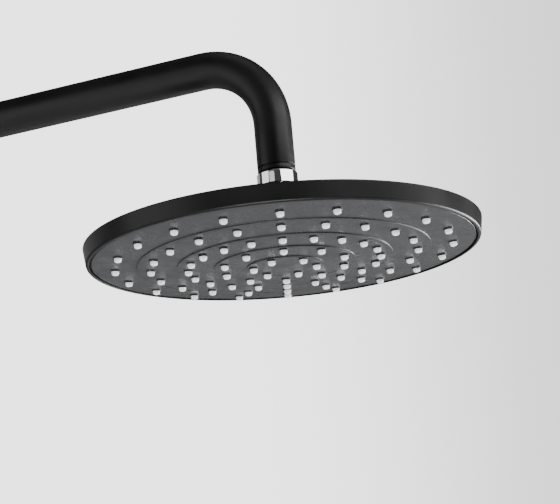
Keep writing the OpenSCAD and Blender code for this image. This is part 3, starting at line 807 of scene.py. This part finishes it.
class SHOWER_OT_neck_collar(bpy.types.Operator):
    """Turn the collar that holds the ball and press its grip flutes"""
    bl_idname = "shower.neck_collar"
    bl_label = "Neck collar"

    def execute(self, context):
        sizes = context.scene.joint_sizes
        low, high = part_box("neck_collar")
        outer_r = high.x
        base, top = low.z - BALL_CENTRE.z, high.z - BALL_CENTRE.z
        mouth, mouth_slope, seat_r = 10.0 * MM, 1.6 * MM, 11.0 * MM
        step, lip = 1.1 * MM, top - 2.5 * MM
        flute_edge, flute_depth, pitch = 0.25 * MM, 0.35 * MM, 4
        outline = rounded([
            (NECK_THREAD_R, base, 0.3 * MM), (outer_r, base, 0.6 * MM), (outer_r, top, 3.0 * MM),
            (mouth + mouth_slope, top, 0.4 * MM), (mouth, lip, 0.3 * MM), (seat_r, step, 0),
            (NECK_THREAD_R, step, 0)], 0, cuts=8)
        columns = sizes.grip_flutes * pitch
        bm = turned(outline, segments=columns)
        band = [
            f for f in bm.faces
            if f.calc_center_median().xy.length > outer_r - 0.1 * MM and abs(f.normal.z) < 0.01]
        tallest = max(f.calc_area() for f in band)
        band = [f for f in band if f.calc_area() > tallest / 2]
        flutes = [f for f in band if self.column(f, columns) % pitch < pitch / 2]
        bmesh.ops.inset_region(
            bm, faces=flutes, thickness=flute_edge, depth=-flute_depth, use_even_offset=True)
        placed(bm, Matrix.Translation(BALL_CENTRE))
        piece("neck_collar_grip", bm, finish("powder_coat"), "head", "black_coat", "neck_collar")
        return {"FINISHED"}

    @staticmethod
    def column(face, columns):
        """Which upright column of faces a face is in, counted round the Z axis."""
        centre = face.calc_center_median()
        return math.floor((math.atan2(centre.y, centre.x) % FULL_TURN) / FULL_TURN * columns)


class SHOWER_OT_back_shell(bpy.types.Operator):
    """Turn the head's upper shell with its side wall"""
    bl_idname = "shower.back_shell"
    bl_label = "Back shell"

    def execute(self, context):
        sizes = context.scene.head_sizes
        hub_flat, neck_edge, edge_w, inner_bevel, inner_edge = 5 * MM, 0.4 * MM, 2 * MM, 1 * MM, 0.3 * MM
        hub_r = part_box("neck_collar")[1].x + hub_flat
        rise = HUB_TOP - sizes.rim_h
        edge_r = HEAD_R - edge_w
        low_r = HEAD_R - sizes.rim_flare
        cavity_r = low_r - sizes.rim_wall
        lip = 0.7 * sizes.rim_wall

        def back(r):
            return sizes.rim_h + rise * (1 - ((r - hub_r) / (HEAD_R - hub_r)) ** 2)

        cuts = 28
        over = [hub_r + (edge_r - hub_r) * i / cuts for i in range(cuts + 1)]
        under = [hub_r + (cavity_r - edge_w - hub_r) * i / cuts for i in range(cuts + 1)]
        outer = rounded(
            [(edge_r, back(edge_r)), (HEAD_R, sizes.rim_h, 1.0 * MM), (low_r, lip)],
            0, closed=False, cuts=8)
        outline = [(NECK_THREAD_R, HUB_TOP - neck_edge), (NECK_THREAD_R + neck_edge, HUB_TOP)]
        outline += [(r, back(r)) for r in over]
        outline += outer[1:-1]
        outline += arc(low_r - lip, lip, lip, 0, -90, cuts=12)
        outline += arc(cavity_r + inner_edge, inner_edge, inner_edge, -90, -180, cuts=4)
        outline += [(HEAD_R - sizes.rim_wall, sizes.rim_h - sizes.back_wall - inner_bevel)]
        outline += [(r, back(r) - sizes.back_wall) for r in reversed(under)]
        outline += [(NECK_THREAD_R, HUB_TOP - sizes.back_wall)]
        shell = placed(turned(outline, segments=320), ON_HEAD)
        piece("shell", shell, finish("moulded_shell"), "head", "black_shell", "back_shell")
        return {"FINISHED"}


class SHOWER_OT_spray_face(bpy.types.Operator):
    """Turn the stepped face and set a boss round each nozzle"""
    bl_idname = "shower.spray_face"
    bl_label = "Spray face"

    def execute(self, context):
        sizes = context.scene.head_sizes
        nozzle = context.scene.nozzle_sizes
        lower = self.stepped(sizes, 0)
        upper = self.stepped(sizes, sizes.face_wall)
        edge_r = 0.9 * MM
        rim = arc(FACE_R - edge_r, sizes.face_edge_z + edge_r, edge_r, -85, 0, cuts=8)
        lower = [p for p in lower if p[0] < FACE_R - edge_r]
        face = turned(lower + rim + upper[::-1], segments=320, closed=False)
        bosses = spread(self.boss(nozzle), nozzle_seats(sizes))
        whole = placed(joined(face, bosses), ON_HEAD)
        piece("face", whole, finish("spray_face"), "head", "face_grey", "face_plate")
        return {"FINISHED"}

    @staticmethod
    def stepped(sizes, lift):
        """The face's outline from its centre to its edge, its steps slightly rounded."""
        steps = sorted(radii(sizes, STEP_SHARES))
        edges = [0.0] + steps + [FACE_R]
        corner, facet = 0.22 * MM, 4 * MM
        points = []
        for zone, (start, end) in enumerate(zip(edges, edges[1:])):
            below = sizes.step_h * (len(steps) - zone)
            cuts = max(3, round((end - start) / facet))
            for i in range(cuts + 1):
                r = start + (end - start) * i / cuts
                at_step = (i == 0 and zone > 0) or (i == cuts and zone < len(steps))
                points.append((r, crown(sizes, r) - below + lift, corner if at_step else 0.0))
        return rounded(points, 0, closed=False, cuts=3)

    @staticmethod
    def boss(nozzle):
        """The raised ring round a nozzle, sunk a little into the face."""
        inner = nozzle.root_r + nozzle.gap
        outer = inner + nozzle.boss_wall
        sunk = 0.6 * MM
        ring = rounded([
            (inner, sunk, 0), (inner, -nozzle.boss_h, 0.12 * MM),
            (outer, -nozzle.boss_h, 0.22 * MM), (outer, sunk, 0)], 0, cuts=3)
        return turned(ring, segments=40)


def spread(bm, seats):
    """Copies of a bmesh, one on each seat, as one bmesh."""
    step = bpy.data.meshes.new("step")
    bm.to_mesh(step)
    bm.free()
    whole = bmesh.new()
    for seat in seats:
        known = len(whole.verts)
        whole.from_mesh(step)
        whole.verts.ensure_lookup_table()
        bmesh.ops.transform(whole, matrix=seat, verts=whole.verts[known:])
    bpy.data.meshes.remove(step)
    return whole


class SHOWER_OT_nozzles(bpy.types.Operator):
    """Turn the soft nozzles and the mat that they stand on"""
    bl_idname = "shower.nozzles"
    bl_label = "Nozzles"

    def execute(self, context):
        sizes = context.scene.head_sizes
        nozzle = context.scene.nozzle_sizes
        root = -nozzle.boss_h - nozzle.straight
        tip = -nozzle.boss_h - nozzle.height
        back = sizes.face_wall
        dish_w, jet_edge, dish_h, jet_h, back_open = 0.35 * MM, 0.08 * MM, 0.25 * MM, 0.5 * MM, 1.0 * MM
        throat_h, mat_in, mat_gap, mat_h = 1.2 * MM, 3.0 * MM, 0.1 * MM, 1.6 * MM
        cuts = 7
        side = [
            (nozzle.tip_r + (nozzle.root_r - nozzle.tip_r) * math.cos(QUARTER_TURN * i / cuts),
             root + (tip - root) * math.sin(QUARTER_TURN * i / cuts))
            for i in range(cuts + 1)]
        jet_r = nozzle.jet_r
        outline = [(nozzle.root_r, back)] + side
        outline += [
            (jet_r + dish_w, tip), (jet_r + jet_edge, tip + dish_h), (jet_r, tip + jet_h),
            (jet_r, tip + throat_h), (jet_r + back_open, back)]
        shape = turned(outline, segments=32)
        low = SHOWER_OT_spray_face.stepped(sizes, back + mat_gap)
        high = SHOWER_OT_spray_face.stepped(sizes, back + mat_gap + mat_h)
        sheet = [p for p in low + high[::-1] if p[0] < FACE_R - mat_in]
        mat = turned(sheet, segments=160, closed=False)
        whole = placed(joined(mat, spread(shape, nozzle_seats(sizes))), ON_HEAD)
        piece(
            "nozzles", whole, finish("soft_silicone"), "head", "white_silicone", "nozzle_mat",
            sharp=40.0)
        return {"FINISHED"}


class SHOWER_OT_rim_seal(bpy.types.Operator):
    """Turn the black ring in the groove between side wall and face"""
    bl_idname = "shower.rim_seal"
    bl_label = "Rim seal"

    def execute(self, context):
        low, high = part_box("rim_seal")
        gap, ridge_h, ridge_round = 0.1 * MM, 0.3 * MM, 0.3 * MM
        inner, outer = FACE_R + gap, high.x
        base, top = low.z - RIM_Z, high.z - RIM_Z
        middle = (inner + outer) / 2
        outline = rounded([
            (inner, base + ridge_h, 0.1 * MM), (middle, base, ridge_round),
            (outer, base + ridge_h, 0.1 * MM), (outer, top, 0), (inner, top, 0)], 0)
        ring = placed(turned(outline, segments=256), ON_HEAD)
        piece("groove_ring", ring, finish("black_rubber"), "head", "black_rubber", "rim_seal")
        return {"FINISHED"}


INNER_FINISHES = {
    "flange_oring": "black_rubber",
    "inlet_washer": "black_rubber",
    "filter_screen": "stainless",
    "flow_regulator": "green_acetal",
    "regulator_oring": "black_rubber",
    "upper_ball_liner": "pale_acetal",
    "lower_ball_liner": "pale_acetal",
    "ball_seal": "black_rubber",
    "neck_socket": "turned_brass",
    "socket_oring": "black_rubber",
    "socket_screws": "stainless",
    "neck_oring": "black_rubber",
    "chamber_plate": "pale_plastic",
    "face_screws": "stainless",
}


class SHOWER_OT_inner_pieces(bpy.types.Operator):
    """Give each piece inside the arm and the head its own finish"""
    bl_idname = "shower.inner_pieces"
    bl_label = "Inner pieces"

    def execute(self, context):
        for node, name in INNER_FINISHES.items():
            mesh = frame["nodes"][node].data
            mesh.materials.clear()
            mesh.materials.append(finish(name))
        return {"FINISHED"}


# ---- Stage ----


def soft_light(name, place, target, size, power):
    """A rectangular studio light aimed at target, not seen by the camera."""
    light = bpy.data.lights.new(name, "AREA")
    light.shape = "RECTANGLE"
    light.size, light.size_y = size
    light.energy = power
    obj = bpy.data.objects.new(name, light)
    obj.location = place
    obj.rotation_mode = "QUATERNION"
    obj.rotation_quaternion = (Vector(target) - Vector(place)).to_track_quat("-Z", "Y")
    obj.visible_camera = False
    bpy.context.scene.collection.objects.link(obj)


def around(centre, distance, azimuth, elevation):
    """The point at that distance and direction from centre, angles in radians from -Y towards +X."""
    level = distance * math.cos(elevation)
    return centre + Vector((
        level * math.sin(azimuth), -level * math.cos(azimuth), distance * math.sin(elevation)))


class SHOWER_OT_stage(bpy.types.Operator):
    """Lay the floor, hang the lights and set up the camera"""
    bl_idname = "shower.stage"
    bl_label = "Stage"

    # Turn from the camera and lift in degrees, distance, width and height in metres, power in watts.
    LIGHTS = {
        "right_softbox": (61, 27, 2.9, 4.4, 1.7, 95),
        "left_softbox": (-72, 3, 2.9, 2.4, 2.1, 24),
        "left_strip": (-30, 14, 2.9, 1.4, 0.7, 2.5),
        "left_back_softbox": (-140, 16, 3.1, 3.0, 1.1, 4),
        "low_right_strip": (121, -11, 3.1, 3.0, 1.0, 200),
        "back_softbox": (168, -13, 3.3, 3.0, 1.0, 2.5),
        "low_fill": (-10, -42, 2.6, 1.6, 1.2, 200),
        "top_fill": (60, 82, 2.8, 2.0, 2.0, 8),
    }

    def execute(self, context):
        stage = context.scene.stage_settings
        rim_centre = Vector((0, -REACH, RIM_Z))
        self.floor(RIM_Z - stage.floor_drop)
        self.surroundings(context.scene, stage.camera_azimuth)
        self.lights(rim_centre, stage.camera_azimuth)
        self.camera(context.scene, stage, rim_centre)
        return {"FINISHED"}

    @staticmethod
    def floor(height):
        radius = 9.0
        bm = bmesh.new()
        bmesh.ops.create_circle(bm, cap_ends=True, radius=radius, segments=96)
        placed(bm, Matrix.Translation((0, 0, height)))
        mesh = bpy.data.meshes.new("floor")
        bm.to_mesh(mesh)
        bm.free()
        mesh.materials.append(pale_floor())
        obj = bpy.data.objects.new("floor", mesh)
        bpy.context.scene.collection.objects.link(obj)

    @staticmethod
    def surroundings(scene, view_azimuth):
        """A pale room that darkens to the right for the camera, and is dimmer as a light."""
        left, right = 3.0, 1.5
        fade_start, fade_end = -0.04, 0.16
        world = bpy.data.worlds.new("studio")
        scene.world = world
        world.use_nodes = True
        nodes, links = world.node_tree.nodes, world.node_tree.links
        nodes.clear()
        output = nodes.new("ShaderNodeOutputWorld")
        mix = nodes.new("ShaderNodeMixShader")
        seen = nodes.new("ShaderNodeBackground")
        lighting = nodes.new("ShaderNodeBackground")
        path = nodes.new("ShaderNodeLightPath")
        lighting.inputs["Color"].default_value = (0.95, 0.96, 1.0, 1.0)
        lighting.inputs["Strength"].default_value = 0.06
        way = nodes.new("ShaderNodeTexCoord")
        across = nodes.new("ShaderNodeVectorMath")
        across.operation = "DOT_PRODUCT"
        across.inputs[1].default_value = around(Vector(), 1.0, view_azimuth + QUARTER_TURN, 0.0)
        links.new(way.outputs["Generated"], across.inputs[0])
        fade = remap(nodes, links, across.outputs["Value"], left, right, fade_start, fade_end)
        fade.node.interpolation_type = "SMOOTHSTEP"
        seen.inputs["Color"].default_value = (1.0, 1.0, 1.01, 1.0)
        links.new(fade, seen.inputs["Strength"])
        links.new(path.outputs["Is Camera Ray"], mix.inputs["Fac"])
        links.new(lighting.outputs["Background"], mix.inputs[1])
        links.new(seen.outputs["Background"], mix.inputs[2])
        links.new(mix.outputs["Shader"], output.inputs["Surface"])

    def lights(self, centre, view_azimuth):
        for name, (turn, lift, distance, width, height, power) in self.LIGHTS.items():
            azimuth = view_azimuth + math.radians(turn)
            place = around(centre, distance, azimuth, math.radians(lift))
            soft_light(name, place, centre, (width, height), power)

    @staticmethod
    def camera(scene, stage, rim_centre):
        data = bpy.data.cameras.new("camera")
        data.lens = stage.lens
        data.sensor_width = 36.0
        camera = bpy.data.objects.new("camera", data)
        place = around(rim_centre, stage.camera_distance, stage.camera_azimuth, stage.camera_elevation)
        aim = rim_centre + Vector(stage.camera_aim)
        camera.location = place
        look = (aim - place).to_track_quat("-Z", "Y")
        camera.rotation_mode = "QUATERNION"
        camera.rotation_quaternion = look @ Matrix.Rotation(stage.camera_roll, 4, "Z").to_quaternion()
        data.clip_start, data.clip_end = 0.05, 50.0
        scene.collection.objects.link(camera)
        scene.camera = camera


class SHOWER_PT_panel(bpy.types.Panel):
    """The rain shower's pieces and settings"""
    bl_idname = "SHOWER_PT_panel"
    bl_label = "Rain shower"
    bl_space_type = "VIEW_3D"
    bl_region_type = "UI"
    bl_category = "Rain Shower"

    def draw(self, context):
        layout = self.layout
        for operator in OPERATORS:
            layout.operator(operator.bl_idname)
        for name, group in SETTINGS.items():
            box = layout.box()
            settings = getattr(context.scene, name)
            for prop in group.__annotations__:
                box.prop(settings, prop)


OPERATORS = (
    SHOWER_OT_arm_tube,
    SHOWER_OT_arm_ends,
    SHOWER_OT_wall_cover,
    SHOWER_OT_ball_connector,
    SHOWER_OT_neck_collar,
    SHOWER_OT_back_shell,
    SHOWER_OT_rim_seal,
    SHOWER_OT_spray_face,
    SHOWER_OT_nozzles,
    SHOWER_OT_inner_pieces,
    SHOWER_OT_stage,
)
CLASSES = (*SETTINGS.values(), *OPERATORS, SHOWER_PT_panel)


def register():
    for cls in CLASSES:
        bpy.utils.register_class(cls)
    for name, group in SETTINGS.items():
        setattr(bpy.types.Scene, name, PointerProperty(type=group))


def unregister():
    for name in SETTINGS:
        delattr(bpy.types.Scene, name)
    for cls in reversed(CLASSES):
        bpy.utils.unregister_class(cls)


def main():
    register()
    bpy.ops.shower.arm_tube()
    bpy.ops.shower.arm_ends()
    bpy.ops.shower.wall_cover()
    bpy.ops.shower.ball_connector()
    bpy.ops.shower.neck_collar()
    bpy.ops.shower.back_shell()
    bpy.ops.shower.rim_seal()
    bpy.ops.shower.spray_face()
    bpy.ops.shower.nozzles()
    bpy.ops.shower.inner_pieces()
    bpy.ops.shower.stage()


if __name__ == "__main__":
    main()
